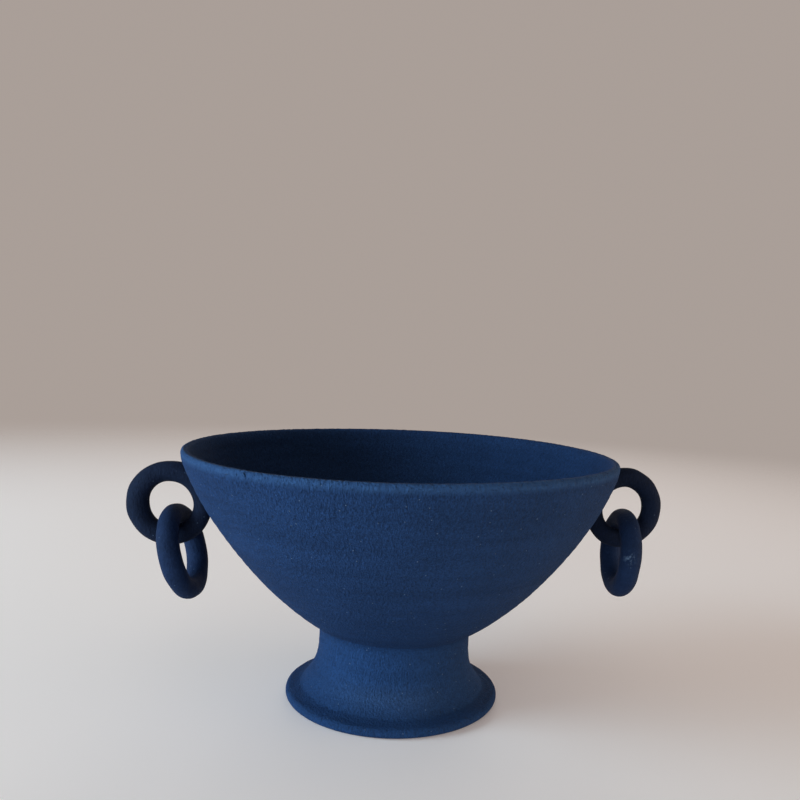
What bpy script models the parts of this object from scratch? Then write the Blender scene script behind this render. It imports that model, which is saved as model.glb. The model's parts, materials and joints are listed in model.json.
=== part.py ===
"""Footed stoneware bowl vase with two loop handles, each holding a loose hanging ring.

Metres, +Z up. The origin is the centre of the foot's base. The left handle lies on the -X axis and the
right one nearly on the +X axis, turned a little as hand-set handles are. The bowl and the foot are
thrown pieces, luted together at the top of the stem with a small collar of smoothed clay. Each handle
is a closed loop of rolled clay pressed against the bowl's wall, and a second, loose ring is linked
through it, so that the ring rests on the loop's lower side and swings there.
"""

import math
from dataclasses import dataclass

import bmesh
import bpy
from mathutils import Matrix, Vector
from mathutils.geometry import interpolate_bezier

# Bowl
RIM_RADIUS = 0.130
RIM_HEIGHT = 0.156
WALL_THICKNESS = 0.0055
FLOOR_THICKNESS = 0.008
FLOOR_FLAT = 0.027
FLOOR_CORNER = 0.0135
WALL_LEAN_AT_STEM = math.radians(59.5)
WALL_LEAN_AT_RIM = math.radians(15.7)
WALL_FULLNESS_AT_STEM = 0.039
WALL_FULLNESS_AT_RIM = 0.0365

# Foot
FOOT_HEIGHT = 0.046
STEM_RADIUS = 0.0474
STEM_WALL = 0.007
STEM_STRAIGHT = 0.020
COLLAR = 0.0020
FLARE_WIDTH = 0.0102
FLARE_HEIGHT = 0.0086
FLARE_SLOPE = math.radians(54.0)
FLARE_CURVE = 0.013
FLANGE_WIDTH = 0.0102
FLANGE_CREASE = 0.0012
FLANGE_SLOPE = math.radians(12.0)
FLANGE_EDGE = 0.0062
STANDING_RING = 0.0087
HOLLOW_RISE = 0.030
HOLLOW_LEAN = math.radians(26.5)
HOLLOW_CURVE = 0.0087
HOLLOW_STRAIGHT = 0.015

# Loops that make the handles, rolled and set by hand and so not quite alike
LOOP_PRESS_DEPTH = 0.0038
LEFT_LOOP_RADIUS = 0.0193
LEFT_LOOP_COIL_RADIUS = 0.0061
LEFT_SEAT_DROP = 0.0280
RIGHT_LOOP_RADIUS = 0.0189
RIGHT_LOOP_COIL_RADIUS = 0.0057
RIGHT_SEAT_DROP = 0.0225
RIGHT_HANDLE_TURN = math.radians(2.3)

# Loose rings: where each one hangs on its loop, and how it stands there
LEFT_RING_RADIUS = 0.0235
LEFT_RING_COIL_RADIUS = 0.0066
LEFT_HANG_ANGLE = math.radians(-15.0)
LEFT_RING_LEAN = math.radians(13.2)
LEFT_RING_YAW = math.radians(5.7)
RIGHT_RING_RADIUS = 0.0222
RIGHT_RING_COIL_RADIUS = 0.0066
RIGHT_HANG_ANGLE = math.radians(5.5)
RIGHT_RING_LEAN = math.radians(0.5)
RIGHT_RING_YAW = math.radians(5.7)

# Clearances
LUTING_GAP = 0.0003
LINK_GAP = 0.0006

# Facets
TURNED_STEPS = 64
WALL_POINTS = 13
SEAT_SEARCH_POINTS = 200
FLOOR_POINTS = 8
COLLAR_POINTS = 4
FLARE_POINTS = 11
FLANGE_POINTS = 5
HOLLOW_POINTS = 8
LIP_POINTS = 7
COIL_STEPS = 40
COIL_SIDES = 14
MERGE_DISTANCE = 0.00001

# Blue engobe on the clay, and the slightly darker rolled coils
BOWL_BLUE = (0.022, 0.072, 0.190, 1.0)
COIL_BLUE = (0.018, 0.052, 0.140, 1.0)
CLAY_ROUGHNESS = 0.85


@dataclass
class Handle:
    """One handle: its side, its turn about the bowl's axis, its loop, and the ring that hangs in it."""

    side: int
    turn: float
    seat_drop: float
    loop_radius: float
    loop_coil_radius: float
    ring_radius: float
    ring_coil_radius: float
    hang_angle: float
    ring_lean: float
    ring_yaw: float


LEFT_HANDLE = Handle(
    side=-1,
    turn=0.0,
    seat_drop=LEFT_SEAT_DROP,
    loop_radius=LEFT_LOOP_RADIUS,
    loop_coil_radius=LEFT_LOOP_COIL_RADIUS,
    ring_radius=LEFT_RING_RADIUS,
    ring_coil_radius=LEFT_RING_COIL_RADIUS,
    hang_angle=LEFT_HANG_ANGLE,
    ring_lean=LEFT_RING_LEAN,
    ring_yaw=LEFT_RING_YAW,
)
RIGHT_HANDLE = Handle(
    side=1,
    turn=RIGHT_HANDLE_TURN,
    seat_drop=RIGHT_SEAT_DROP,
    loop_radius=RIGHT_LOOP_RADIUS,
    loop_coil_radius=RIGHT_LOOP_COIL_RADIUS,
    ring_radius=RIGHT_RING_RADIUS,
    ring_coil_radius=RIGHT_RING_COIL_RADIUS,
    hang_angle=RIGHT_HANG_ANGLE,
    ring_lean=RIGHT_RING_LEAN,
    ring_yaw=RIGHT_RING_YAW,
)


def clear_scene():
    for old in list(bpy.data.objects):
        bpy.data.objects.remove(old, do_unlink=True)


def new_collection(name):
    collection = bpy.data.collections.new(name)
    bpy.context.scene.collection.children.link(collection)
    return collection


def move_to(obj, collection):
    for old in list(obj.users_collection):
        old.objects.unlink(obj)
    collection.objects.link(obj)


def clay_material(name, colour):
    material = bpy.data.materials.new(name)
    material.use_nodes = True
    shader = material.node_tree.nodes["Principled BSDF"]
    shader.inputs["Base Color"].default_value = colour
    shader.inputs["Roughness"].default_value = CLAY_ROUGHNESS
    shader.inputs["Metallic"].default_value = 0.0
    return material


def curve_between(start, start_handle, end_handle, end, count):
    """Points (radius, height) along a Bezier curve, both ends included."""
    points = interpolate_bezier(Vector(start), Vector(start_handle), Vector(end_handle), Vector(end), count)
    return [Vector(point) for point in points]


def arc_points(centre, radius, start_angle, end_angle, count):
    """Points (radius, height) on an arc, both ends included."""
    points = []
    for step in range(count):
        angle = start_angle + (end_angle - start_angle) * step / (count - 1)
        points.append(Vector(centre) + radius * Vector((math.cos(angle), math.sin(angle))))
    return points


def wall_way(lean):
    """Unit direction up a wall that leans outward from the upright."""
    return Vector((math.sin(lean), math.cos(lean)))


def slope_way(slope):
    """Unit direction outward and down a slope, measured from the level."""
    return Vector((math.cos(slope), -math.sin(slope)))


def outer_wall(count=WALL_POINTS):
    """The bowl's outside from the stem up to the lip."""
    base = Vector((STEM_RADIUS, FOOT_HEIGHT + LUTING_GAP))
    lip_rise = WALL_THICKNESS / 2 * (1 + math.sin(WALL_LEAN_AT_RIM))
    top = Vector((RIM_RADIUS, RIM_HEIGHT - lip_rise))
    base_handle = base + WALL_FULLNESS_AT_STEM * wall_way(WALL_LEAN_AT_STEM)
    top_handle = top - WALL_FULLNESS_AT_RIM * wall_way(WALL_LEAN_AT_RIM)
    return curve_between(base, base_handle, top_handle, top, count)


def outward_normals(points):
    """Unit normals that point out and down from a wall whose points run upwards."""
    normals = []
    last = len(points) - 1
    for index in range(len(points)):
        along = points[min(index + 1, last)] - points[max(index - 1, 0)]
        normals.append(Vector((along.y, -along.x)).normalized())
    return normals


def offset_wall(points, distance):
    """The wall moved out by a distance, or in by a negative one."""
    return [point + distance * normal for point, normal in zip(points, outward_normals(points))]


def wall_seat(height):
    """The point of the outer wall at a height, and the wall's outward normal there."""
    points = outer_wall(SEAT_SEARCH_POINTS)
    normals = outward_normals(points)
    nearest = min(range(len(points)), key=lambda index: abs(points[index].y - height))
    return points[nearest], normals[nearest]


def bowl_profile():
    """Half section of the bowl, from the middle of its floor over the lip to the middle of its base."""
    outside = outer_wall()
    floor_height = FOOT_HEIGHT + LUTING_GAP + FLOOR_THICKNESS
    inside = offset_wall(outside, -WALL_THICKNESS)
    inside = [point for point in inside if point.y > floor_height + FLOOR_THICKNESS]
    floor_way = (inside[0] - inside[1]).normalized()
    floor = curve_between(
        (0.0, floor_height),
        (FLOOR_FLAT, floor_height),
        inside[0] + FLOOR_CORNER * floor_way,
        inside[0],
        FLOOR_POINTS,
    )
    lip_centre = (outside[-1] + inside[-1]) / 2
    lip_turn = outside[-1] - lip_centre
    lip_angle = math.atan2(lip_turn.y, lip_turn.x)
    lip = arc_points(lip_centre, lip_turn.length, lip_angle + math.pi, lip_angle, LIP_POINTS)
    base_centre = Vector((0.0, FOOT_HEIGHT + LUTING_GAP))
    return floor[:-1] + inside[:-1] + lip + outside[-2::-1] + [base_centre]


def wall_form_profile():
    """Half section of the bowl's outside with the luting gap, solid to the axis."""
    outside = offset_wall(outer_wall(), LUTING_GAP)
    top_centre = Vector((0.0, outside[-1].y))
    base_centre = Vector((0.0, outside[0].y))
    return [top_centre] + outside[::-1] + [base_centre]


def collar_profile():
    """The smoothed clay that fills the corner between the bowl's underside and the stem."""
    corner = Vector((STEM_RADIUS, FOOT_HEIGHT))
    tip = corner + COLLAR * wall_way(WALL_LEAN_AT_STEM)
    foot = corner - Vector((0.0, COLLAR))
    return curve_between(tip, (tip + corner) / 2, (foot + corner) / 2, foot, COLLAR_POINTS)


def flange_edge_centre():
    """Centre of the rounded edge of the flange."""
    return Vector((STEM_RADIUS + FLARE_WIDTH + FLANGE_WIDTH - FLANGE_EDGE / 2, FLANGE_EDGE / 2))


def hollow_profile():
    """The inside of the foot, from the standing ring up to the stem's bore."""
    edge = Vector((flange_edge_centre().x - STANDING_RING, 0.0))
    top = Vector((STEM_RADIUS - STEM_WALL, HOLLOW_RISE))
    edge_handle = edge + HOLLOW_CURVE * Vector((-math.sin(HOLLOW_LEAN), math.cos(HOLLOW_LEAN)))
    top_handle = top - Vector((0.0, HOLLOW_STRAIGHT))
    return curve_between(edge, edge_handle, top_handle, top, HOLLOW_POINTS)


def foot_profile():
    """Closed section of the hollow foot, down its outside from the collar and up its inside."""
    collar = collar_profile()
    stem_top = collar[-1]
    flare_end = Vector((STEM_RADIUS + FLARE_WIDTH, FLARE_HEIGHT))
    flare_way = slope_way(FLARE_SLOPE)
    flare = curve_between(
        stem_top,
        stem_top - Vector((0.0, STEM_STRAIGHT)),
        flare_end - FLARE_CURVE * flare_way,
        flare_end,
        FLARE_POINTS,
    )
    edge = arc_points(flange_edge_centre(), FLANGE_EDGE / 2, math.pi / 2, -math.pi / 2, LIP_POINTS)
    flange = curve_between(
        flare_end,
        flare_end + FLANGE_CREASE * flare_way,
        edge[0] - FLANGE_WIDTH / 2 * slope_way(FLANGE_SLOPE),
        edge[0],
        FLANGE_POINTS,
    )
    inner_top = Vector((STEM_RADIUS - STEM_WALL, FOOT_HEIGHT))
    top_corner = Vector((STEM_RADIUS, FOOT_HEIGHT))
    return collar + flare[1:] + flange[1:-1] + edge + hollow_profile() + [inner_top, top_corner]


def turned(name, profile, closed, collection):
    """A solid of revolution about Z from a half section in the XZ plane."""
    mesh = bpy.data.meshes.new(name)
    section = bmesh.new()
    corners = [section.verts.new((point.x, 0.0, point.y)) for point in profile]
    for first, second in zip(corners, corners[1:]):
        section.edges.new((first, second))
    if closed:
        section.edges.new((corners[-1], corners[0]))
    section.to_mesh(mesh)
    section.free()
    obj = bpy.data.objects.new(name, mesh)
    collection.objects.link(obj)
    screw = obj.modifiers.new("Turn", "SCREW")
    screw.axis = "Z"
    screw.angle = math.tau
    screw.steps = TURNED_STEPS
    screw.render_steps = TURNED_STEPS
    screw.use_merge_vertices = True
    screw.merge_threshold = MERGE_DISTANCE
    return obj


def coil_ring(name, ring_radius, coil_radius, collection):
    """A closed ring of rolled clay in the XY plane of its own frame."""
    bpy.ops.mesh.primitive_torus_add(
        major_radius=ring_radius,
        minor_radius=coil_radius,
        major_segments=COIL_STEPS,
        minor_segments=COIL_SIDES,
    )
    obj = bpy.context.object
    obj.name = name
    obj.data.name = name
    obj.data.shade_smooth()
    move_to(obj, collection)
    return obj


def outward_way(handle, yaw=0.0):
    """Level direction out of the bowl through a handle, turned by a yaw."""
    return Matrix.Rotation(handle.turn - yaw, 3, "Z") @ Vector((handle.side, 0.0, 0.0))


def loop_centre(handle):
    """Centre of a handle's loop, pressed against the wall at a depth below the rim."""
    seat, normal = wall_seat(RIM_HEIGHT - handle.seat_drop)
    centre = seat + normal * (handle.loop_radius + handle.loop_coil_radius - LOOP_PRESS_DEPTH)
    return outward_way(handle) * centre.x + Vector((0.0, 0.0, centre.y))


def handle_loop(name, handle, wall_form, collection):
    """A loop standing in the upright plane through the bowl's axis, cut to the wall where it meets it."""
    loop = coil_ring(name, handle.loop_radius, handle.loop_coil_radius, collection)
    stood_up = Matrix.Rotation(handle.turn, 4, "Z") @ Matrix.Rotation(math.pi / 2, 4, "X")
    loop.matrix_world = Matrix.Translation(loop_centre(handle)) @ stood_up
    cut = loop.modifiers.new("Wall", "BOOLEAN")
    cut.operation = "DIFFERENCE"
    cut.solver = "EXACT"
    cut.object = wall_form
    return loop


def hanging_ring(name, handle, collection):
    """A loose ring on its loop, under an empty whose Z axis is the line that the ring swings about."""
    upward = Vector((0.0, 0.0, 1.0))
    hang_way = outward_way(handle) * math.sin(handle.hang_angle) - upward * math.cos(handle.hang_angle)
    hang_point = loop_centre(handle) + handle.loop_radius * hang_way
    level_axis = outward_way(handle, handle.ring_yaw)
    swing_axis = level_axis * math.cos(handle.ring_lean) - upward * math.sin(handle.ring_lean)
    ring_up = level_axis * math.sin(handle.ring_lean) + upward * math.cos(handle.ring_lean)
    standing = Matrix((ring_up, swing_axis.cross(ring_up), swing_axis)).transposed().to_4x4()
    hinge = bpy.data.objects.new(name + "_hinge", None)
    hinge.empty_display_size = handle.ring_radius
    hinge.matrix_world = Matrix.Translation(hang_point) @ standing
    collection.objects.link(hinge)
    ring = coil_ring(name, handle.ring_radius, handle.ring_coil_radius, collection)
    ring.parent = hinge
    link_height = handle.loop_coil_radius + LINK_GAP + handle.ring_coil_radius
    ring.location = (link_height - handle.ring_radius, 0.0, 0.0)
    return ring


def build():
    clear_scene()
    parts = new_collection("footed_bowl_vase")
    cutters = new_collection("cutters")

    wall_form = turned("wall_form", wall_form_profile(), False, cutters)
    wall_form.hide_render = True
    wall_form.display_type = "WIRE"

    bowl = turned("bowl", bowl_profile(), False, parts)
    bowl.data.materials.append(clay_material("bowl_clay", BOWL_BLUE))
    foot = turned("pedestal_foot", foot_profile(), True, parts)
    foot.data.materials.append(clay_material("foot_clay", BOWL_BLUE))

    for side_name, handle in (("left", LEFT_HANDLE), ("right", RIGHT_HANDLE)):
        loop = handle_loop(side_name + "_handle_loop", handle, wall_form, parts)
        loop.data.materials.append(clay_material(side_name + "_loop_clay", COIL_BLUE))
        ring = hanging_ring(side_name + "_hanging_ring", handle, parts)
        ring.data.materials.append(clay_material(side_name + "_ring_clay", COIL_BLUE))


build()
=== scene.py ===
"""Looks of the footed bowl vase: thrown and rolled stoneware under a matte blue engobe.

Metres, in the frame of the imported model: +Z up, the left handle on the -X axis, -Y towards the camera.
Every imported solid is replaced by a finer, hand-made version of itself: the bowl with its uneven rim and
throwing lines, the foot with its luted collar, and the rolled coils with their finger marks.
"""

import json
import math
from dataclasses import dataclass

import bmesh
import bpy
import numpy as np
from mathutils import Matrix, Vector


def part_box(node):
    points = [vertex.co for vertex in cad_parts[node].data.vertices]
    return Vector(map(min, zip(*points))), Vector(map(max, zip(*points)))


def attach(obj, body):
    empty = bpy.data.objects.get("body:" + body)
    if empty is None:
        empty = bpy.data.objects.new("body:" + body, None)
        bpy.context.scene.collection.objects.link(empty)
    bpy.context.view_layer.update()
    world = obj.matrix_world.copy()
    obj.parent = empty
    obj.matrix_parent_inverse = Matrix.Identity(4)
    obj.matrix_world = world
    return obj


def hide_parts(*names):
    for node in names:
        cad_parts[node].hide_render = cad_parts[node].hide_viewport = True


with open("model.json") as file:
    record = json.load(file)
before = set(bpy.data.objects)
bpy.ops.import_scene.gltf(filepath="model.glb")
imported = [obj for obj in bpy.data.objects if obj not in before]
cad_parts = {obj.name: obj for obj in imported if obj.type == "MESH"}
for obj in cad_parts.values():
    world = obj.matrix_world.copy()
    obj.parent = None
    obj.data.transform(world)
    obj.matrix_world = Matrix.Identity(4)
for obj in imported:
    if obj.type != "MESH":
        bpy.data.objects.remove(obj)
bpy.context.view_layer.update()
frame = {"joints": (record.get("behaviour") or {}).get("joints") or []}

# Camera, from the photograph's perspective
IMAGE_SIZE = 800
FOCAL_LENGTH_PX = 769.8
VIEW_AXIS_BELOW_CENTRE_PX = 133.5
SENSOR_WIDTH_MM = 36.0
NEAREST_SEEN = 0.01
CAMERA_DISTANCE = 0.4656
CAMERA_HEIGHT = 0.2055
CAMERA_TURN = math.radians(4.05)
CAMERA_YAW = math.radians(0.06)
CAMERA_PITCH = 0.214
CAMERA_ROLL = 0.0502

# Bowl
WALL_THICKNESS = 0.0055
FLOOR_THICKNESS = 0.008
FLOOR_FLAT = 0.027
FLOOR_CORNER = 0.0135
FLOOR_CORNER_RISE = 0.008
WALL_LEAN_AT_STEM = math.radians(59.5)
WALL_LEAN_AT_RIM = math.radians(15.7)
WALL_FULLNESS_AT_STEM = 0.039
WALL_FULLNESS_AT_RIM = 0.0365
LIP_ROLL_IN = 0.0006
LIP_ROLL_HEIGHT = 0.005

# The lip's paler band outside, a painted highlight on the rounded lip; its worn edge along the crest and its
# chips
LIP_BAND = 0.0060
LIP_BAND_FADE = 0.0024
LIP_EDGE = 0.0008
LIP_CHIP_LENGTH = 0.0022
LIP_CHIP_DEPTH = 0.00007
LIP_CHIP_REACH = 0.0030

# The hand-made rim: cosine and sine parts of its rise and of its swelling, for 1, 2 and 3 waves round it
RIM_LIFT = 0.00065
RIM_RISE = ((0.00084, 0.00137), (0.00006, -0.00028), (-0.00031, -0.00003))
RIM_SWELL = ((0.0, 0.0), (-0.00159, 0.00266))

# Columns of the bowl's mesh about each mark in its outside
MARK_REACH = 0.035
MARK_COLUMNS = 40

# Throwing lines and other unevenness of the hand-made surface
THROWING_PITCH = 0.0062
THROWING_DEPTH = 0.00012
THROWING_DRIFT = 0.35
THROWING_STRENGTH = 0.65
THROWING_STRENGTH_SPREAD = 0.35
WAVINESS_LENGTH = 0.045
WAVINESS_DEPTH = 0.00008
DENT_LENGTH = 0.011
DENT_DEPTH = 0.00003
WAVE_COUNT = 28
SHORTEST_WAVE_RATE = 1.6
LONGEST_WAVE_RATE = 0.6

# Where the bowl's surface is calmer: near the lip, and in the very middle
LIP_CALM = 0.012
LIP_CALMEST = 0.15
MIDDLE_CALM = 0.05

# Seeds of the unevenness
BOWL_SEED = 11
LIP_SEED = 23
FOOT_SEED = 41

# Foot, with the cosine and sine parts of its flange's swelling, for 1 and 2 waves round it
STEM_RADIUS = 0.0474
STEM_WALL = 0.007
STEM_STRAIGHT = 0.020
COLLAR = 0.0042
COLLAR_SINK = 0.0004
FLARE_WIDTH = 0.0102
FLARE_HEIGHT = 0.0086
FLARE_SLOPE = math.radians(54.0)
FLARE_CURVE = 0.013
FLANGE_WIDTH = 0.0102
FLANGE_CREASE = 0.0012
FLANGE_SLOPE = math.radians(12.0)
FLANGE_EDGE = 0.0062
STANDING_RING = 0.0087
HOLLOW_RISE = 0.030
HOLLOW_LEAN = math.radians(26.5)
HOLLOW_CURVE = 0.0087
HOLLOW_STRAIGHT = 0.015
FOOT_SWELL = ((0.0, 0.0), (-0.00041, 0.00135))

# A painted highlight on the foot's flare, a paler patch: its middle, its reach and how strongly it shows
FLARE_HIGHLIGHT_ANGLE = math.radians(-97.0)
FLARE_HIGHLIGHT_TURN = math.radians(34.0)
FLARE_HIGHLIGHT_HEIGHT = 0.0165
FLARE_HIGHLIGHT_RISE = 0.0062
FLARE_HIGHLIGHT_COVER = 0.55

# Coils
SEAT_DEPTH = 0.0008
LUTE_WIDTH = 0.0016
LUTE_HEIGHT = 0.0040
COIL_UNEVENNESS = 0.00008
COIL_DENT_LENGTH = 0.014
CROWN_SHARPNESS = 4
RING_OVAL = 0.010
RING_CORNERS = 0.008

# A painted glint on a ring's outer face, a small pale patch: its place round the ring and round the coil, and
# its reach
GLINT_ROUND = math.radians(85.0)
GLINT_SIDE = math.radians(-22.0)
GLINT_REACH = 0.0028

# Mesh steps
ROW_STEP = 0.0013
LIP_STEP = 0.0004
FOOT_STEP = 0.0009
HOLLOW_STEP = 0.0026
BASE_STEP = 0.012
TURNED_COLUMNS = 480
FOOT_COLUMNS = 320
COIL_STEPS = 180
COIL_SIDES = 64
CURVE_SAMPLES = 400

# Colours, linear
LIP_HIGHLIGHT_BLUE = (0.0290, 0.0780, 0.1920, 1.0)
FLARE_HIGHLIGHT_BLUE = (0.0300, 0.0680, 0.1600, 1.0)
WORN_BLUE = (0.0320, 0.0800, 0.1800, 1.0)
PALE_SPECK_AND_GLINT = (0.1250, 0.1900, 0.3000, 1.0)
DARK_PIT_AND_GROOVE_SHADE = (0.0020, 0.0070, 0.0190, 1.0)
FLOOR_COLOUR = (0.900, 0.860, 0.850, 1.0)
FLOOR_GLOW = (0.130, 0.112, 0.106, 1.0)
BACKDROP_COLOUR = (0.400, 0.345, 0.315, 1.0)
AMBIENT_COLOUR = (1.0, 0.85, 0.74, 1.0)
AMBIENT_STRENGTH = 0.25

# Floor, which is plain near the vase and gone where the backdrop takes over
FLOOR_RADIUS = 4.0
FLOOR_SIDES = 128
FLOOR_PLAIN = 0.6
FLOOR_GONE = 2.2
FLOOR_ROUGHNESS = 0.8

# Shine of the clay
ROUGHEST = 0.92
ROUGHNESS_SPREAD = 0.14
SMOOTHING = 0.22

# Relief of the clay's grain, and the weight of each pattern in it
GRAIN_HEIGHT = 0.0018
GRAIN_STRENGTH = 1.0
STREAK_RELIEF = 0.7
GRIT_RELIEF = 0.3
SPECK_RELIEF = 0.25
RAGGED_RELIEF = 0.8
PIT_RELIEF = 0.4

# Range that a noise pattern mostly keeps to, and the values of it between which a patch comes to show
NOISE_RANGE = (0.3, 0.7)
EDGE_BREAKS = (0.4, 0.65)
GLINT_BREAKS = (0.5, 0.62)

# Least and most that a broken patch covers what lies under it
LIP_COVER = (0.36, 0.90)
EDGE_COVER = (0.0, 0.35)
GLINT_COVER = (0.0, 0.8)

# Part of a dot's size that it covers fully, before its soft edge
DOT_CORE = 0.6


@dataclass
class Pattern:
    """A noise pattern in the clay: waves per metre, stretch, layers, and how strongly it shades the slip."""

    name: str
    scale: float
    stretch: tuple
    detail: float
    roughness: float
    shade: float
    is_grain: bool


PATTERNS = (
    Pattern("mottle", 30.0, (1.0, 1.0, 1.0), 3.0, 0.5, 0.06, False),
    Pattern("bands", 140.0, (0.06, 0.06, 1.0), 2.0, 0.5, 0.10, False),
    Pattern("ragged", 420.0, (1.0, 1.0, 1.0), 3.0, 0.65, 0.08, False),
    Pattern("streaks", 720.0, (1.0, 1.0, 0.4), 2.0, 0.6, 0.12, True),
    Pattern("grit", 1800.0, (1.0, 1.0, 0.45), 2.0, 0.6, 0.45, True),
)


@dataclass
class Dots:
    """Small dots in the clay: cells per metre, size in a cell, share of cells that have one, and cover."""

    scale: float
    size: float
    share: float
    cover: float


SPECKS = Dots(scale=200.0, size=0.085, share=0.90, cover=0.85)
PITS = Dots(scale=620.0, size=0.24, share=0.30, cover=0.30)


@dataclass
class Slip:
    """The coloured slip on a piece: its colour, which holds painted light on the foot and painted shade on
    the loops, its shine, and how grainy and how smoothed by hand it is.
    """

    name: str
    colour: tuple
    specular: float
    grain: float
    smooth: float


BOWL_SLIP = Slip("bowl_engobe", (0.0114, 0.0332, 0.0960, 1.0), specular=0.08, grain=1.0, smooth=0.0)
# The foot's blue is the bowl's painted lighter: painted light, for the light that reaches the foot
LIT_FOOT_SLIP = Slip("foot_engobe", (0.0114, 0.0372, 0.1090, 1.0), specular=0.08, grain=0.9, smooth=0.1)
# The loops' blue is painted darker than the rings' and the bowl's: painted shade, for the shade that the
# handles stand in
SHADED_LOOP_SLIP = Slip("loop_engobe", (0.0080, 0.0138, 0.0330, 1.0), specular=0.05, grain=0.5, smooth=0.4)
RING_SLIP = Slip("ring_engobe", (0.0108, 0.0230, 0.0620, 1.0), specular=0.05, grain=0.45, smooth=0.6)


@dataclass
class Mark:
    """A short groove in the bowl's outside: where it is, how far down from the rim's crest, its size, and how
    dark the shade painted in it is.
    """

    angle: float
    drop: float
    length: float
    width: float
    depth: float
    slant: float
    darkness: float


NICK = Mark(
    angle=math.radians(-128.0),
    drop=0.0,
    length=0.0044,
    width=0.00036,
    depth=0.0009,
    slant=0.40,
    darkness=1.0,
)
FAINT_LINE = Mark(
    angle=math.radians(-107.0),
    drop=0.0085,
    length=0.0140,
    width=0.00050,
    depth=0.00016,
    slant=-0.06,
    darkness=0.15,
)
MARKS = (NICK, FAINT_LINE)


@dataclass
class Lamp:
    """A soft studio lamp that faces the vase: its place, size, power and colour."""

    name: str
    location: tuple
    width: float
    height: float
    power: float
    colour: tuple


LAMPS = (
    Lamp("side_key", (-2.20, -0.38, 0.80), 1.2, 1.2, 44.0, (0.64, 0.87, 1.0)),
    Lamp("left_card", (-1.62, -1.38, 0.10), 1.8, 0.17, 25.0, (0.67, 0.88, 1.0)),
    Lamp("front_card", (-0.85, -1.95, 0.18), 1.8, 0.17, 8.0, (1.0, 0.99, 0.98)),
    Lamp("right_card", (2.14, -0.40, 0.14), 1.8, 0.17, 22.0, (1.0, 0.81, 0.64)),
    Lamp("front_top", (0.00, -1.30, 1.70), 1.2, 1.2, 2.0, (1.0, 0.97, 0.94)),
    Lamp("back", (0.50, 2.30, 1.20), 1.4, 1.4, 10.0, (1.0, 0.98, 0.96)),
)


@dataclass
class Handle:
    """One handle as it was rolled by hand: where its loop stands, and the coils of the loop and the ring."""

    name: str
    side: int
    turn: float
    hang_angle: float
    packed_loop_radius: float
    loop_width: float
    loop_height: float
    loop_coil: float
    outer_swell: float
    top_thinning: float
    crown: float
    crown_angle: float
    loop_seed: int
    ring_radius: float
    ring_coil: float
    ring_top_thinning: float
    ring_glints: bool
    ring_seed: int


HANDLES = (
    Handle(
        name="left",
        side=-1,
        turn=0.0,
        hang_angle=math.radians(-15.0),
        packed_loop_radius=0.0193,
        loop_width=0.0193,
        loop_height=0.0193,
        loop_coil=0.0061,
        outer_swell=0.0006,
        top_thinning=0.0004,
        crown=0.0020,
        crown_angle=math.radians(128.0),
        loop_seed=72,
        ring_radius=0.0235,
        ring_coil=0.0066,
        ring_top_thinning=0.0012,
        ring_glints=False,
        ring_seed=71,
    ),
    Handle(
        name="right",
        side=1,
        turn=math.radians(2.3),
        hang_angle=math.radians(5.5),
        packed_loop_radius=0.0189,
        loop_width=0.0187,
        loop_height=0.0193,
        loop_coil=0.0057,
        outer_swell=0.0003,
        top_thinning=0.0002,
        crown=0.0014,
        crown_angle=math.radians(105.0),
        loop_seed=84,
        ring_radius=0.0222,
        ring_coil=0.0066,
        ring_top_thinning=0.0012,
        ring_glints=True,
        ring_seed=83,
    ),
)

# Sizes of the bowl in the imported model
BOWL_LOW, BOWL_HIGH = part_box("bowl")
BASE_HEIGHT = BOWL_LOW.z
RIM_HEIGHT = BOWL_HIGH.z
RIM_RADIUS = BOWL_HIGH.x


def gently(share):
    """A share held between 0 and 1 that starts to show gently."""
    return np.clip(share, 0.0, 1.0) ** 2


def bell(offset, reach):
    """1 at no offset, fading smoothly to nothing over about twice the reach."""
    return np.exp(-((offset / reach) ** 2))


def bezier(start, start_handle, end_handle, end):
    """Dense points along a Bezier curve."""
    share = np.linspace(0.0, 1.0, CURVE_SAMPLES)[:, None]
    rest = 1.0 - share
    start, start_handle, end_handle, end = map(np.array, (start, start_handle, end_handle, end))
    first_half = rest**3 * start + 3 * rest**2 * share * start_handle
    return first_half + 3 * rest * share**2 * end_handle + share**3 * end


def arc(centre, radius, start_angle, end_angle):
    """Dense points along an arc."""
    angle = np.linspace(start_angle, end_angle, CURVE_SAMPLES)
    return np.array(centre) + radius * np.stack([np.cos(angle), np.sin(angle)], 1)


def wall_way(lean):
    """Unit direction up a wall that leans outward from the upright."""
    return np.array((math.sin(lean), math.cos(lean)))


def slope_way(slope):
    """Unit direction outward and down a slope, measured from the level."""
    return np.array((math.cos(slope), -math.sin(slope)))


def lengths_along(points):
    """Distance of each point from the first, along the line through them."""
    steps = np.linalg.norm(np.diff(points, axis=0), axis=1)
    return np.concatenate([[0.0], np.cumsum(steps)])


def evenly(points, step):
    """The line through the points, in even steps of about this length."""
    along = lengths_along(points)
    count = max(3, int(round(along[-1] / step)) + 1)
    wanted = np.linspace(0.0, along[-1], count)
    return np.stack([np.interp(wanted, along, points[:, axis]) for axis in range(2)], 1)


def side_normals(points):
    """Unit normals on the right-hand side of a line of (radius, height) points."""
    along = np.gradient(points, axis=0)
    normals = np.stack([along[:, 1], -along[:, 0]], 1)
    return normals / np.linalg.norm(normals, axis=1)[:, None]


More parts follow.
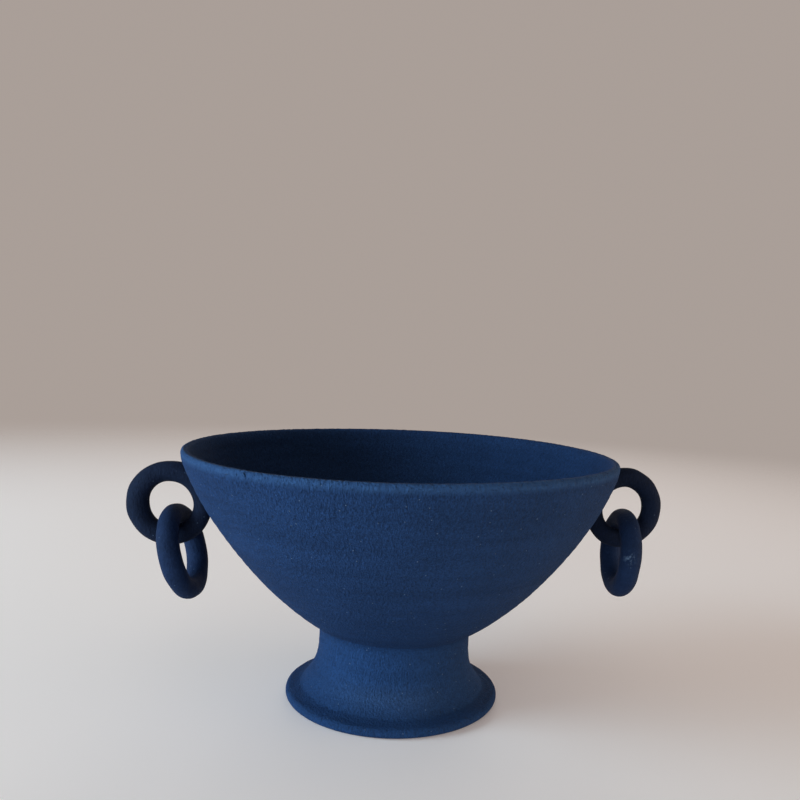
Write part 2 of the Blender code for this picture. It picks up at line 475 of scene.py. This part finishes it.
def waves(points, length, seed):
    """Smooth random unevenness over 3-D points, about 1 high, with waves of about this length."""
    draw = np.random.default_rng(seed)
    ways = draw.normal(size=(WAVE_COUNT, 3))
    ways /= np.linalg.norm(ways, axis=1)[:, None]
    rates = draw.uniform(LONGEST_WAVE_RATE, SHORTEST_WAVE_RATE, WAVE_COUNT)
    ways *= (math.tau / length * rates)[:, None]
    phases = draw.uniform(0.0, math.tau, WAVE_COUNT)
    total = np.zeros(points.shape[:-1])
    for way, phase in zip(ways, phases):
        total += np.sin(points @ way + phase)
    return total * math.sqrt(2.0 / WAVE_COUNT)


def rounds(parts, angle):
    """Sum of a hand-made outline's cosine and sine waves at an angle measured from the camera's right."""
    total = np.zeros_like(angle)
    for number, (cosine, sine) in enumerate(parts, 1):
        total = total + cosine * np.cos(number * (angle + CAMERA_TURN))
        total = total + sine * np.sin(number * (angle + CAMERA_TURN))
    return total


def outer_wall():
    """The bowl's outside from the stem up to the lip, before the lip rolls in."""
    lip_rise = WALL_THICKNESS / 2 * (1 + math.sin(WALL_LEAN_AT_RIM))
    base = np.array((STEM_RADIUS, BASE_HEIGHT))
    top = np.array((RIM_RADIUS, RIM_HEIGHT - lip_rise))
    base_handle = base + WALL_FULLNESS_AT_STEM * wall_way(WALL_LEAN_AT_STEM)
    top_handle = top - WALL_FULLNESS_AT_RIM * wall_way(WALL_LEAN_AT_RIM)
    return bezier(base, base_handle, top_handle, top)


def rim_share(height):
    """How much of the rim's hand-made shape shows at a height: none at the stem, all at the rim."""
    return gently((height - BASE_HEIGHT) / (RIM_HEIGHT - BASE_HEIGHT))


def rim_rise(angle):
    """How much higher than its plain height the hand-made rim stands at an angle."""
    return RIM_LIFT + rounds(RIM_RISE, angle)


def rim_warp(radius, height, angle):
    """A point of the turned bowl with the hand-made rise and swelling of the rim."""
    share = rim_share(height)
    return radius + share * rounds(RIM_SWELL, angle), height + share * rim_rise(angle)


def foot_warp(radius, height, angle):
    """A point of the turned foot with the slight oval of its flange."""
    share = gently(1.0 - (height - FLARE_HEIGHT) / STEM_STRAIGHT)
    return radius + share * rounds(FOOT_SWELL, angle), height


def bowl_section():
    """Section of the bowl from its floor over the lip to its base, and the length along it to the crest."""
    wall = outer_wall()
    normals = side_normals(wall)
    below_lip = lengths_along(wall)[-1] - lengths_along(wall)
    roll = LIP_ROLL_IN * gently(1.0 - below_lip / LIP_ROLL_HEIGHT)
    outside = wall - normals * roll[:, None]
    inside = wall - normals * WALL_THICKNESS
    floor_height = BASE_HEIGHT + FLOOR_THICKNESS
    inside = inside[inside[:, 1] > floor_height + FLOOR_CORNER_RISE]
    corner_way = (inside[0] - inside[1]) / np.linalg.norm(inside[0] - inside[1])
    corner_handle = inside[0] + FLOOR_CORNER * corner_way
    floor = bezier((0.0, floor_height), (FLOOR_FLAT, floor_height), corner_handle, inside[0])
    lip_centre = (outside[-1] + inside[-1]) / 2
    lip_turn = outside[-1] - lip_centre
    lip_angle = math.atan2(lip_turn[1], lip_turn[0])
    lip = arc(lip_centre, np.linalg.norm(lip_turn), lip_angle + math.pi, lip_angle)
    base = np.linspace(outside[0], (0.0, BASE_HEIGHT), CURVE_SAMPLES)
    inner = evenly(np.concatenate([floor, inside]), ROW_STEP)[1:-1]
    lip = evenly(lip, LIP_STEP)
    outer = evenly(outside[::-1], ROW_STEP)[1:-1]
    section = np.concatenate([inner, lip, outer, evenly(base, BASE_STEP)[:-1]])
    crest = len(inner) + len(lip) // 2
    return section, lengths_along(section)[crest]


def columns_round(count):
    """Angles of a turned mesh's columns."""
    return np.linspace(-math.pi, math.pi, count, endpoint=False)


def columns_with_marks(count):
    """Angles of the bowl's columns, closer together about its marks."""
    angles = columns_round(count)
    for mark in MARKS:
        kept = angles[np.abs(angles - mark.angle) > MARK_REACH]
        fine = np.linspace(mark.angle - MARK_REACH, mark.angle + MARK_REACH, MARK_COLUMNS)
        angles = np.sort(np.concatenate([kept, fine]))
    return angles


def surface(name, points, wrap_rows, poles=()):
    """A closed mesh over a grid of points whose columns go round, with rows that go round or end in poles."""
    rows, columns = points.shape[:2]
    corners = np.arange(rows * columns).reshape(rows, columns)
    upper = corners if wrap_rows else corners[:-1]
    lower = np.roll(corners, -1, axis=0)[: len(upper)]
    quads = np.stack([upper, np.roll(upper, -1, 1), np.roll(lower, -1, 1), lower], -1).reshape(-1, 4)
    vertices = points.reshape(-1, 3).tolist()
    faces = quads.tolist()
    for height, row in zip(poles, (corners[0], corners[-1][::-1])):
        pole = len(vertices)
        vertices.append((0.0, 0.0, height))
        faces.extend([pole, int(after), int(before)] for before, after in zip(row, np.roll(row, -1)))
    mesh = bpy.data.meshes.new(name)
    mesh.from_pydata(vertices, [], faces)
    facing = bmesh.new()
    facing.from_mesh(mesh)
    bmesh.ops.recalc_face_normals(facing, faces=facing.faces)
    facing.to_mesh(mesh)
    facing.free()
    mesh.shade_smooth()
    obj = bpy.data.objects.new(name, mesh)
    bpy.context.scene.collection.objects.link(obj)
    return obj


def paint(obj, name, values):
    """A value from 0 to 1 at each vertex of a grid, for the material to read."""
    padded = np.zeros(len(obj.data.vertices), np.float32)
    padded[: values.size] = values.ravel()
    obj.data.attributes.new(name, "FLOAT", "POINT").data.foreach_set("value", padded)


def turned_points(section, angles, warp):
    """Grid of points of a turned section that has its clay on the right, and the grid of outward normals."""
    everywhere = np.zeros((len(section), len(angles)))
    radius, height = warp(section[:, :1] + everywhere, section[:, 1:] + everywhere, angles + everywhere)
    normals = -side_normals(section)
    across = normals[:, :1] + everywhere
    cosine, sine = np.cos(angles), np.sin(angles)
    points = np.stack([radius * cosine, radius * sine, height], -1)
    return points, np.stack([across * cosine, across * sine, normals[:, 1:] + everywhere], -1)


def hand_unevenness(points, along, angles, seed):
    """Throwing lines that climb in a spiral, slow waviness and small dents, in metres."""
    turns = along[:, None] / THROWING_PITCH + angles / math.tau
    drift = THROWING_DRIFT * waves(points, WAVINESS_LENGTH, seed)
    strength = THROWING_STRENGTH + THROWING_STRENGTH_SPREAD * waves(points, WAVINESS_LENGTH, seed + 1)
    lines = strength * np.sin(math.tau * (turns + drift))
    wavy = waves(points, WAVINESS_LENGTH, seed + 2)
    dents = waves(points, DENT_LENGTH, seed + 3)
    return THROWING_DEPTH * lines + WAVINESS_DEPTH * wavy + DENT_DEPTH * dents


def bowl_unevenness(section, points, from_crest, angles):
    """The bowl's hand-made unevenness, calmer at its lip, middle and collar, with chips along its lip."""
    calm_lip = np.clip(np.abs(from_crest) / LIP_CALM, LIP_CALMEST, 1.0)
    calm_middle = np.clip(section[:, 0] / STEM_RADIUS - MIDDLE_CALM, 0.0, 1.0)
    above_collar = np.clip((section[:, 1] - BASE_HEIGHT) / COLLAR, 0.0, 1.0)
    calm = (calm_lip * calm_middle * above_collar)[:, None]
    at_lip = bell(from_crest, LIP_CHIP_REACH)[:, None]
    chips = LIP_CHIP_DEPTH * at_lip * waves(points, LIP_CHIP_LENGTH, LIP_SEED)
    return hand_unevenness(points, lengths_along(section), angles, BOWL_SEED) * calm + chips


def marked(mark, from_crest, angles):
    """Share of a mark's depth over the bowl: a short slanted groove down its outside."""
    down = from_crest[:, None] - mark.drop
    across = RIM_RADIUS * (angles - mark.angle) - mark.slant * down
    window = np.clip(1.0 - np.abs(down / mark.length - 0.5) * 2.0, 0.0, 1.0)
    return np.sqrt(window) * bell(across, mark.width)


def thrown_bowl():
    """The bowl, with its uneven rim, its throwing lines, its rough lip and the marks in its outside."""
    section, crest_along = bowl_section()
    angles = columns_with_marks(TURNED_COLUMNS)
    points, normals = turned_points(section, angles, rim_warp)
    from_crest = lengths_along(section) - crest_along
    shift = bowl_unevenness(section, points, from_crest, angles)
    pit = np.zeros_like(shift)
    for mark in MARKS:
        share = marked(mark, from_crest, angles)
        shift = shift - mark.depth * share
        # The marks' grooves are painted darker: painted shade in them
        pit = np.maximum(pit, mark.darkness * share)
    points = points + normals * shift[..., None]
    poles = (BASE_HEIGHT + FLOOR_THICKNESS, BASE_HEIGHT)
    bowl = surface("thrown_bowl", points, wrap_rows=False, poles=poles)
    everywhere = np.zeros_like(shift)
    outside_lip = np.clip((LIP_BAND - from_crest) / LIP_BAND_FADE, 0.0, 1.0)
    inside_lip = np.clip(1.0 + from_crest / LIP_EDGE, 0.0, 1.0)
    # The lip's band, painted paler as a highlight on the rounded lip
    paint(bowl, "lip", (outside_lip * inside_lip)[:, None] + everywhere)
    paint(bowl, "edge", bell(from_crest, LIP_EDGE)[:, None] + everywhere)
    # Painted shade in the marks' grooves
    paint(bowl, "pit", pit)
    paint(bowl, "inside", (from_crest < 0.0)[:, None] + everywhere)
    return bowl


def foot_section():
    """Closed section of the foot, from its collar down and up its hollow, and its count of outside points."""
    corner = np.array((STEM_RADIUS, BASE_HEIGHT))
    down = np.array((0.0, -1.0))
    into_bowl = COLLAR_SINK * np.array((-math.cos(WALL_LEAN_AT_STEM), math.sin(WALL_LEAN_AT_STEM)))
    tip = corner + COLLAR * wall_way(WALL_LEAN_AT_STEM)
    stem_top = corner + COLLAR * down
    collar = bezier(tip + into_bowl, (tip + corner) / 2, (stem_top + corner) / 2, stem_top)
    flare_end = np.array((STEM_RADIUS + FLARE_WIDTH, FLARE_HEIGHT))
    flare_way = slope_way(FLARE_SLOPE)
    flare = bezier(stem_top, stem_top + STEM_STRAIGHT * down, flare_end - FLARE_CURVE * flare_way, flare_end)
    edge_radius = FLANGE_EDGE / 2
    edge_centre = np.array((STEM_RADIUS + FLARE_WIDTH + FLANGE_WIDTH - edge_radius, edge_radius))
    edge = arc(edge_centre, edge_radius, math.pi / 2 - FLANGE_SLOPE, -math.pi / 2)
    edge_handle = edge[0] - FLANGE_WIDTH / 2 * slope_way(FLANGE_SLOPE)
    flange = bezier(flare_end, flare_end + FLANGE_CREASE * flare_way, edge_handle, edge[0])
    hollow_edge = np.array((edge_centre[0] - STANDING_RING, 0.0))
    hollow_top = np.array((STEM_RADIUS - STEM_WALL, HOLLOW_RISE))
    hollow_handle = hollow_edge + HOLLOW_CURVE * np.array((-math.sin(HOLLOW_LEAN), math.cos(HOLLOW_LEAN)))
    hollow = bezier(hollow_edge, hollow_handle, hollow_top + HOLLOW_STRAIGHT * down, hollow_top)
    outside = evenly(np.concatenate([collar, flare[1:], flange[1:], edge[1:]]), FOOT_STEP)
    bore_top = np.array(((hollow_top[0], BASE_HEIGHT),))
    inside = evenly(np.concatenate([hollow, bore_top]), HOLLOW_STEP)
    return np.concatenate([outside, inside, corner[None, :]]), len(outside)


def thrown_foot():
    """The hollow foot, luted to the bowl with a small collar of smoothed clay."""
    section, outside_count = foot_section()
    angles = columns_round(FOOT_COLUMNS)
    points, normals = turned_points(section, angles, foot_warp)
    above_floor = np.clip(section[:, 1] / FLANGE_EDGE, 0.0, 1.0)
    below_collar = np.clip((BASE_HEIGHT - section[:, 1]) / COLLAR, 0.0, 1.0)
    outside = np.arange(len(section)) < outside_count
    calm = (above_floor * below_collar * outside)[:, None]
    shift = hand_unevenness(points, lengths_along(section), angles, FOOT_SEED) * calm
    foot = surface("thrown_foot", points + normals * shift[..., None], wrap_rows=True)
    # Where the painted highlight on the flare falls
    highlight_rows = outside * bell(section[:, 1] - FLARE_HIGHLIGHT_HEIGHT, FLARE_HIGHLIGHT_RISE)
    paint(foot, "pale", highlight_rows[:, None] * bell(angles - FLARE_HIGHLIGHT_ANGLE, FLARE_HIGHLIGHT_TURN))
    return foot


def coil_points(width, height, coil_radius):
    """Grid of points of a rolled ring in its own XY plane, its coil's normals and its centre line."""
    everywhere = np.zeros((COIL_STEPS, COIL_SIDES))
    round_angle = np.linspace(0.0, math.tau, COIL_STEPS, endpoint=False)[:, None] + everywhere
    side_angle = np.linspace(0.0, math.tau, COIL_SIDES, endpoint=False) + everywhere
    cosine, sine = np.cos(round_angle), np.sin(round_angle)
    centre_line = np.stack([width * cosine, height * sine, everywhere], -1)
    outward = np.stack([cosine / width, sine / height, everywhere], -1)
    outward /= np.linalg.norm(outward, axis=-1)[..., None]
    upward = np.array((0.0, 0.0, 1.0))
    normals = np.cos(side_angle)[..., None] * outward + np.sin(side_angle)[..., None] * upward
    return centre_line + normals * coil_radius(round_angle, side_angle)[..., None], normals, centre_line


def turned_by(points, matrix):
    """Directions of a grid carried by a matrix."""
    return points @ np.array(matrix.to_3x3()).T


def carried_by(points, matrix):
    """Points of a grid carried by a matrix."""
    return turned_by(points, matrix) + np.array(matrix.translation)


def wall_distance(points):
    """Distance of points from the bowl's outer wall, and the wall's outward normals there."""
    wall = outer_wall()
    normals = side_normals(wall)
    angle = np.arctan2(points[..., 1], points[..., 0])
    share = rim_share(points[..., 2])
    height = points[..., 2] - share * rim_rise(angle)
    radius = np.hypot(points[..., 0], points[..., 1]) - share * rounds(RIM_SWELL, angle)
    wall_radius = np.interp(height, wall[:, 1], wall[:, 0])
    across = np.interp(height, wall[:, 1], normals[:, 0])
    rise = np.interp(height, wall[:, 1], normals[:, 1])
    outward = np.stack([across * np.cos(angle), across * np.sin(angle), rise], -1)
    return (radius - wall_radius) * across, outward


def luted(points, centre_line):
    """The coil flattened where it is pressed to the wall, with its clay smoothed out along the wall there."""
    distance, outward = wall_distance(points)
    points = points + outward * (np.maximum(distance, -SEAT_DEPTH) - distance)[..., None]
    away = points - centre_line
    away = away - (away * outward).sum(-1)[..., None] * outward
    away = away / np.maximum(np.linalg.norm(away, axis=-1), LUTE_WIDTH)[..., None]
    spread = LUTE_WIDTH * gently(1.0 - distance / LUTE_HEIGHT)
    return points + away * spread[..., None]


def swing_joint(handle):
    """The joint that a handle's ring swings on: its point and its axis."""
    joint = next(joint for joint in frame["joints"] if joint["name"] == handle.name + "_ring_swing")
    return Vector(joint["pos_m"]), Vector(joint["axis"]).normalized()


def finger_marked(points, normals, seed):
    """A rolled coil's points with the finger marks that were left in it."""
    marks = COIL_UNEVENNESS * waves(points, COIL_DENT_LENGTH, seed)
    return points + normals * marks[..., None]


def handle_loop(handle):
    """A rolled loop that stands out from the wall in the upright plane through its handle."""
    hang_point = swing_joint(handle)[0]
    outward = Matrix.Rotation(handle.turn, 3, "Z") @ Vector((handle.side, 0.0, 0.0))
    upward = Vector((0.0, 0.0, 1.0))
    hang_way = outward * math.sin(handle.hang_angle) - upward * math.cos(handle.hang_angle)
    centre = hang_point - handle.packed_loop_radius * hang_way
    standing = Matrix((outward, upward, outward.cross(upward))).transposed().to_4x4()
    matrix = Matrix.Translation(centre) @ standing

    def coil_radius(angle, side):
        thinner = handle.top_thinning * np.clip(np.sin(angle), 0.0, 1.0)
        at_crown = np.clip(np.cos(angle - handle.crown_angle), 0.0, 1.0) ** CROWN_SHARPNESS
        crown = handle.crown * (at_crown * gently(np.cos(side)))
        return handle.loop_coil + handle.outer_swell * np.cos(angle) - thinner + crown

    points, normals, centre_line = coil_points(handle.loop_width, handle.loop_height, coil_radius)
    points = finger_marked(carried_by(points, matrix), turned_by(normals, matrix), handle.loop_seed)
    points = luted(points, carried_by(centre_line, matrix))
    return surface(handle.name + "_rolled_loop", points, wrap_rows=True)


def glint_share(handle):
    """Share of a painted glint over a ring: a small pale patch on its outer face."""
    round_angle = np.linspace(0.0, math.tau, COIL_STEPS, endpoint=False)[:, None]
    side_angle = np.linspace(0.0, math.tau, COIL_SIDES, endpoint=False)
    lengthwise = (handle.ring_radius + handle.ring_coil) * (round_angle - GLINT_ROUND)
    crosswise = handle.ring_coil * (np.mod(side_angle - GLINT_SIDE + math.pi, math.tau) - math.pi)
    return bell(np.hypot(lengthwise, crosswise), GLINT_REACH)


def hanging_ring(handle):
    """A loose rolled ring, standing square to the line that it swings about."""
    hang_point, axis = swing_joint(handle)
    low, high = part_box(handle.name + "_hanging_ring")
    centre = (low + high) / 2
    up = hang_point - centre
    up = (up - up.dot(axis) * axis).normalized()
    matrix = Matrix.Translation(centre) @ Matrix((up, axis.cross(up), axis)).transposed().to_4x4()

    def coil_radius(angle, side):
        oval = RING_OVAL * np.cos(2 * angle + handle.ring_seed)
        corners = RING_CORNERS * np.cos(3 * angle - handle.ring_seed)
        outer_top = gently(np.cos(angle)) * (1.0 + np.cos(side)) / 2
        return handle.ring_coil * (1.0 + (oval + corners)) - handle.ring_top_thinning * outer_top

    points, normals, _ = coil_points(handle.ring_radius, handle.ring_radius, coil_radius)
    points = finger_marked(carried_by(points, matrix), turned_by(normals, matrix), handle.ring_seed)
    ring = surface(handle.name + "_rolled_ring", points, wrap_rows=True)
    if handle.ring_glints:
        paint(ring, "scuff", glint_share(handle))
    return ring


class Nodes:
    """A short way to add and join the nodes of one material."""

    def __init__(self, name):
        self.material = bpy.data.materials.new(name)
        self.material.use_nodes = True
        self.tree = self.material.node_tree
        self.shader = self.tree.nodes["Principled BSDF"]

    def put(self, value, socket):
        """Joins an output to a socket, or sets a plain value on it."""
        if isinstance(value, bpy.types.NodeSocket):
            self.tree.links.new(value, socket)
        else:
            socket.default_value = value

    def add(self, kind, sockets=(), **settings):
        """A new node with these values or outputs on its sockets."""
        node = self.tree.nodes.new(kind)
        for key, value in settings.items():
            setattr(node, key, value)
        for socket, value in dict(sockets).items():
            self.put(value, node.inputs[socket])
        return node

    def mix(self, factor, first, second, blend="MIX"):
        """Two colours mixed; on this node sockets 6 and 7 and output 2 are the ones for colours."""
        node = self.add("ShaderNodeMix", data_type="RGBA", blend_type=blend)
        for number, value in ((0, factor), (6, first), (7, second)):
            self.put(value, node.inputs[number])
        return node.outputs[2]

    def math(self, operation, first, second):
        """Two values joined by an operation of arithmetic."""
        return self.add("ShaderNodeMath", {0: first, 1: second}, operation=operation).outputs[0]

    def remap(self, value, low, high, to_low, to_high, **settings):
        """A value carried from one range to another, and held there."""
        sockets = {"Value": value, "From Min": low, "From Max": high, "To Min": to_low, "To Max": to_high}
        return self.add("ShaderNodeMapRange", sockets, **settings).outputs["Result"]

    def around_one(self, noise, spread):
        """A noise pattern as a factor that goes this far below and above 1."""
        return self.remap(noise, *NOISE_RANGE, 1.0 - spread, 1.0 + spread)

    def patchy(self, mask, noise, breaks, cover):
        """A mask broken up by noise, from the least cover below the breaks to the most above them."""
        return self.math("MULTIPLY", mask, self.remap(noise, *breaks, *cover))

    def noise(self, spot, pattern):
        """One of the clay's noise patterns."""
        stretched = self.add("ShaderNodeMapping", {"Vector": spot, "Scale": pattern.stretch}).outputs[0]
        sockets = {"Vector": stretched, "Scale": pattern.scale}
        sockets.update({"Detail": pattern.detail, "Roughness": pattern.roughness})
        return self.add("ShaderNodeTexNoise", sockets).outputs["Fac"]

    def painted(self, name):
        """A value that was painted on the mesh, or 0 where none was."""
        return self.add("ShaderNodeAttribute", attribute_name=name).outputs["Fac"]

    def grey(self, value):
        """A value as a colour."""
        return self.add("ShaderNodeCombineColor", {0: value, 1: value, 2: value}).outputs[0]

    def dots(self, spot, dots):
        """Small round dots, one in each of a share of a loose grid's cells."""
        cells = self.add("ShaderNodeTexVoronoi", {"Vector": spot, "Scale": dots.scale})
        dot = self.remap(cells.outputs["Distance"], dots.size * DOT_CORE, dots.size, 1.0, 0.0)
        draw = self.add("ShaderNodeSeparateColor", {0: cells.outputs["Color"]}).outputs[0]
        return self.math("MULTIPLY", dot, self.math("LESS_THAN", draw, dots.share))


def slip_shade(nodes, noises, grain):
    """How the patterns of the clay lighten and darken its slip, as a grey colour about 1."""
    factors = []
    for pattern in PATTERNS:
        spread = pattern.shade * grain if pattern.is_grain else pattern.shade
        factors.append(nodes.around_one(noises[pattern.name], spread))
    shade = factors[0]
    for factor in factors[1:]:
        shade = nodes.math("MULTIPLY", shade, factor)
    return nodes.grey(shade)


def slip_colour(nodes, slip, noises, speck, pits):
    """The slip's colour with its shading, its specks, its worn lip edge and dark pits, painted highlights on
    the lip and the foot's flare, painted shade in its marks and a painted glint.
    """
    shade = slip_shade(nodes, noises, slip.grain)
    ragged = noises["ragged"]
    colour = nodes.mix(1.0, slip.colour, shade, "MULTIPLY")
    # A painted highlight on the foot's flare: a paler patch
    flare_highlight = nodes.math("MULTIPLY", nodes.painted("pale"), FLARE_HIGHLIGHT_COVER)
    colour = nodes.mix(flare_highlight, colour, nodes.mix(1.0, FLARE_HIGHLIGHT_BLUE, shade, "MULTIPLY"))
    colour = nodes.mix(nodes.math("MULTIPLY", speck, SPECKS.cover * slip.grain), colour, PALE_SPECK_AND_GLINT)
    # The lip's paler band: a painted highlight on the rounded lip
    lip_highlight = nodes.patchy(nodes.painted("lip"), ragged, NOISE_RANGE, LIP_COVER)
    colour = nodes.mix(lip_highlight, colour, LIP_HIGHLIGHT_BLUE)
    worn = nodes.patchy(nodes.painted("edge"), ragged, EDGE_BREAKS, EDGE_COVER)
    colour = nodes.mix(worn, colour, WORN_BLUE)
    # Dark pits in the lip, and painted shade in the marks' grooves
    colour = nodes.mix(nodes.math("MULTIPLY", pits, PITS.cover), colour, DARK_PIT_AND_GROOVE_SHADE)
    colour = nodes.mix(nodes.painted("pit"), colour, DARK_PIT_AND_GROOVE_SHADE)
    # A painted glint on a ring: a small pale patch
    scuff = nodes.patchy(nodes.painted("scuff"), ragged, GLINT_BREAKS, GLINT_COVER)
    return nodes.mix(scuff, colour, PALE_SPECK_AND_GLINT)


def slip_relief(nodes, noises, speck, pits):
    """Height of the slip's grain: streaks, grit and specks, with a rougher, pitted lip."""
    rough_lip = nodes.math("MULTIPLY", nodes.painted("lip"), noises["ragged"])
    parts = (
        (noises["grit"], GRIT_RELIEF),
        (speck, SPECK_RELIEF),
        (rough_lip, RAGGED_RELIEF),
        (pits, -PIT_RELIEF),
    )
    height = nodes.math("MULTIPLY", noises["streaks"], STREAK_RELIEF)
    for part, weight in parts:
        height = nodes.math("ADD", height, nodes.math("MULTIPLY", part, weight))
    return height


def engobe(slip):
    """Matte coloured slip over gritty clay: mottling, fine upright streaks, throwing bands and specks."""
    nodes = Nodes(slip.name)
    spot = nodes.add("ShaderNodeTexCoord").outputs["Object"]
    noises = {pattern.name: nodes.noise(spot, pattern) for pattern in PATTERNS}
    outside = nodes.math("SUBTRACT", 1.0, nodes.painted("inside"))
    speck = nodes.math("MULTIPLY", outside, nodes.dots(spot, SPECKS))
    pits = nodes.math("MULTIPLY", nodes.painted("lip"), nodes.dots(spot, PITS))
    nodes.put(slip_colour(nodes, slip, noises, speck, pits), nodes.shader.inputs["Base Color"])
    roughest = ROUGHEST - SMOOTHING * slip.smooth
    roughness = nodes.remap(noises["grit"], *NOISE_RANGE, roughest - ROUGHNESS_SPREAD, roughest)
    nodes.put(roughness, nodes.shader.inputs["Roughness"])
    nodes.put(slip.specular, nodes.shader.inputs["Specular IOR Level"])
    height = slip_relief(nodes, noises, speck, pits)
    bump = {"Strength": GRAIN_STRENGTH * slip.grain, "Distance": GRAIN_HEIGHT, "Height": height}
    nodes.put(nodes.add("ShaderNodeBump", bump).outputs["Normal"], nodes.shader.inputs["Normal"])
    return nodes.material


def dress(obj, material, body, node):
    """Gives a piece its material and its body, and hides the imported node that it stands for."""
    obj.data.materials.append(material)
    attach(obj, body)
    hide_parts(node)


def seen_directly(tree):
    """1 for rays that the camera, a reflection or a refraction sees straight away, and 0 for other light."""
    path = tree.nodes.new("ShaderNodeLightPath")
    seen = path.outputs["Is Camera Ray"]
    for other in ("Is Glossy Ray", "Is Transmission Ray"):
        either = tree.nodes.new("ShaderNodeMath")
        either.operation = "MAXIMUM"
        tree.links.new(seen, either.inputs[0])
        tree.links.new(path.outputs[other], either.inputs[1])
        seen = either.outputs[0]
    return seen


def studio_floor():
    """A wide pale floor that fades into the backdrop."""
    bpy.ops.mesh.primitive_circle_add(vertices=FLOOR_SIDES, radius=FLOOR_RADIUS, fill_type="NGON")
    floor = bpy.context.object
    floor.name = "studio_floor"
    nodes = Nodes("pale_floor")
    nodes.put(FLOOR_COLOUR, nodes.shader.inputs["Base Color"])
    nodes.put(FLOOR_ROUGHNESS, nodes.shader.inputs["Roughness"])
    nodes.put(FLOOR_GLOW, nodes.shader.inputs["Emission Color"])
    nodes.put(seen_directly(nodes.tree), nodes.shader.inputs["Emission Strength"])
    spot = nodes.add("ShaderNodeTexCoord").outputs["Object"]
    distance = nodes.add("ShaderNodeVectorMath", {0: spot}, operation="LENGTH").outputs["Value"]
    fade = nodes.remap(distance, FLOOR_PLAIN, FLOOR_GONE, 0.0, 1.0, interpolation_type="SMOOTHSTEP")
    clear = nodes.add("ShaderNodeBsdfTransparent").outputs[0]
    blend = nodes.add("ShaderNodeMixShader", {0: fade, 1: nodes.shader.outputs[0], 2: clear}).outputs[0]
    nodes.put(blend, nodes.tree.nodes["Material Output"].inputs["Surface"])
    floor.data.materials.append(nodes.material)


def studio_world():
    """Soft light from all round, and a plain pale backdrop for what the camera and reflections see."""
    world = bpy.data.worlds.new("studio")
    bpy.context.scene.world = world
    world.use_nodes = True
    tree = world.node_tree
    ambient = tree.nodes["Background"]
    ambient.inputs["Color"].default_value = AMBIENT_COLOUR
    ambient.inputs["Strength"].default_value = AMBIENT_STRENGTH
    backdrop = tree.nodes.new("ShaderNodeBackground")
    backdrop.inputs["Color"].default_value = BACKDROP_COLOUR
    choice = tree.nodes.new("ShaderNodeMixShader")
    tree.links.new(seen_directly(tree), choice.inputs[0])
    tree.links.new(ambient.outputs[0], choice.inputs[1])
    tree.links.new(backdrop.outputs[0], choice.inputs[2])
    tree.links.new(choice.outputs[0], tree.nodes["World Output"].inputs["Surface"])


def soft_light(lamp):
    """A lamp as a lit rectangle that faces the vase."""
    data = bpy.data.lights.new(lamp.name, "AREA")
    data.shape = "RECTANGLE"
    data.size = lamp.width
    data.size_y = lamp.height
    data.energy = lamp.power
    data.color = lamp.colour
    obj = bpy.data.objects.new(lamp.name, data)
    obj.location = lamp.location
    facing = Vector((0.0, 0.0, RIM_HEIGHT / 2)) - Vector(lamp.location)
    obj.rotation_euler = facing.to_track_quat("-Z", "Y").to_euler()
    bpy.context.scene.collection.objects.link(obj)


def photo_camera():
    """The camera that took the photograph."""
    data = bpy.data.cameras.new("photo_camera")
    data.sensor_width = SENSOR_WIDTH_MM
    data.lens = SENSOR_WIDTH_MM * FOCAL_LENGTH_PX / IMAGE_SIZE
    data.shift_y = VIEW_AXIS_BELOW_CENTRE_PX / IMAGE_SIZE
    data.clip_start = NEAREST_SEEN
    camera = bpy.data.objects.new("photo_camera", data)
    heading = CAMERA_TURN + CAMERA_YAW
    cosine, sine = math.cos(CAMERA_PITCH), math.sin(CAMERA_PITCH)
    forward = Vector((math.sin(heading) * cosine, math.cos(heading) * cosine, -sine))
    level = Vector((math.cos(heading), -math.sin(heading), 0.0))
    upright = level.cross(forward)
    right = math.cos(CAMERA_ROLL) * level + math.sin(CAMERA_ROLL) * upright
    up = math.cos(CAMERA_ROLL) * upright - math.sin(CAMERA_ROLL) * level
    away = Vector((-math.sin(CAMERA_TURN), -math.cos(CAMERA_TURN), 0.0)) * CAMERA_DISTANCE
    stand = away + Vector((0.0, 0.0, CAMERA_HEIGHT))
    camera.matrix_world = Matrix.Translation(stand) @ Matrix((right, up, -forward)).transposed().to_4x4()
    bpy.context.scene.collection.objects.link(camera)
    bpy.context.scene.camera = camera


bpy.context.scene.view_settings.view_transform = "Standard"

dress(thrown_bowl(), engobe(BOWL_SLIP), "vessel", "bowl")
dress(thrown_foot(), engobe(LIT_FOOT_SLIP), "vessel", "pedestal_foot")
loop_engobe = engobe(SHADED_LOOP_SLIP)
ring_engobe = engobe(RING_SLIP)
for handle in HANDLES:
    loop = handle_loop(handle)
    ring = hanging_ring(handle)
    dress(loop, loop_engobe, "vessel", handle.name + "_handle_loop")
    dress(ring, ring_engobe, handle.name + "_ring", handle.name + "_hanging_ring")

studio_floor()
studio_world()
for lamp in LAMPS:
    soft_light(lamp)
photo_camera()
